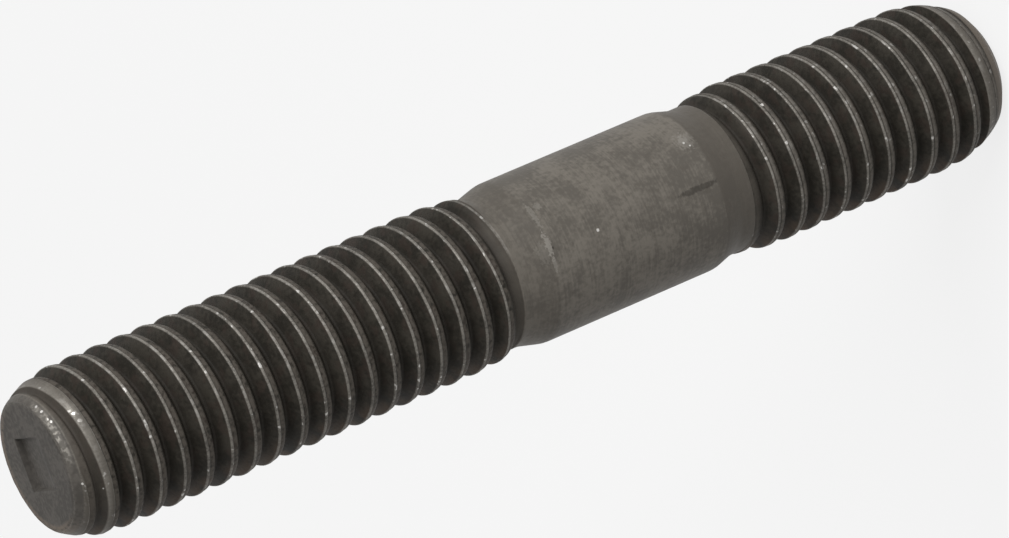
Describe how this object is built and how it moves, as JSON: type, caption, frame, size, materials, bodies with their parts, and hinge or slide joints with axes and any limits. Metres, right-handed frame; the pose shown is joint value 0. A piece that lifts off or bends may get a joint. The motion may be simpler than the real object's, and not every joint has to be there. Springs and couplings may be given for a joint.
{
  "type": "double-ended exhaust manifold stud",
  "caption": "Double-ended steel stud with a thread at each end and a plain shank between, for clamping an exhaust manifold to a cylinder head.",
  "frame": {"origin": "centre of the tap end's flat face, the end that screws into the cylinder head", "axes": "+Z along the stud's axis, from the tap end up to the nut end; +X and +Y across the axis"},
  "size_m": [0.0078, 0.0078, 0.0518],
  "materials": {
    "steel": "dark phosphated steel, satin, worn bright on the thread crests"
  },
  "bodies": {
    "root": {"stud": "steel"}
  },
  "joints": []
}
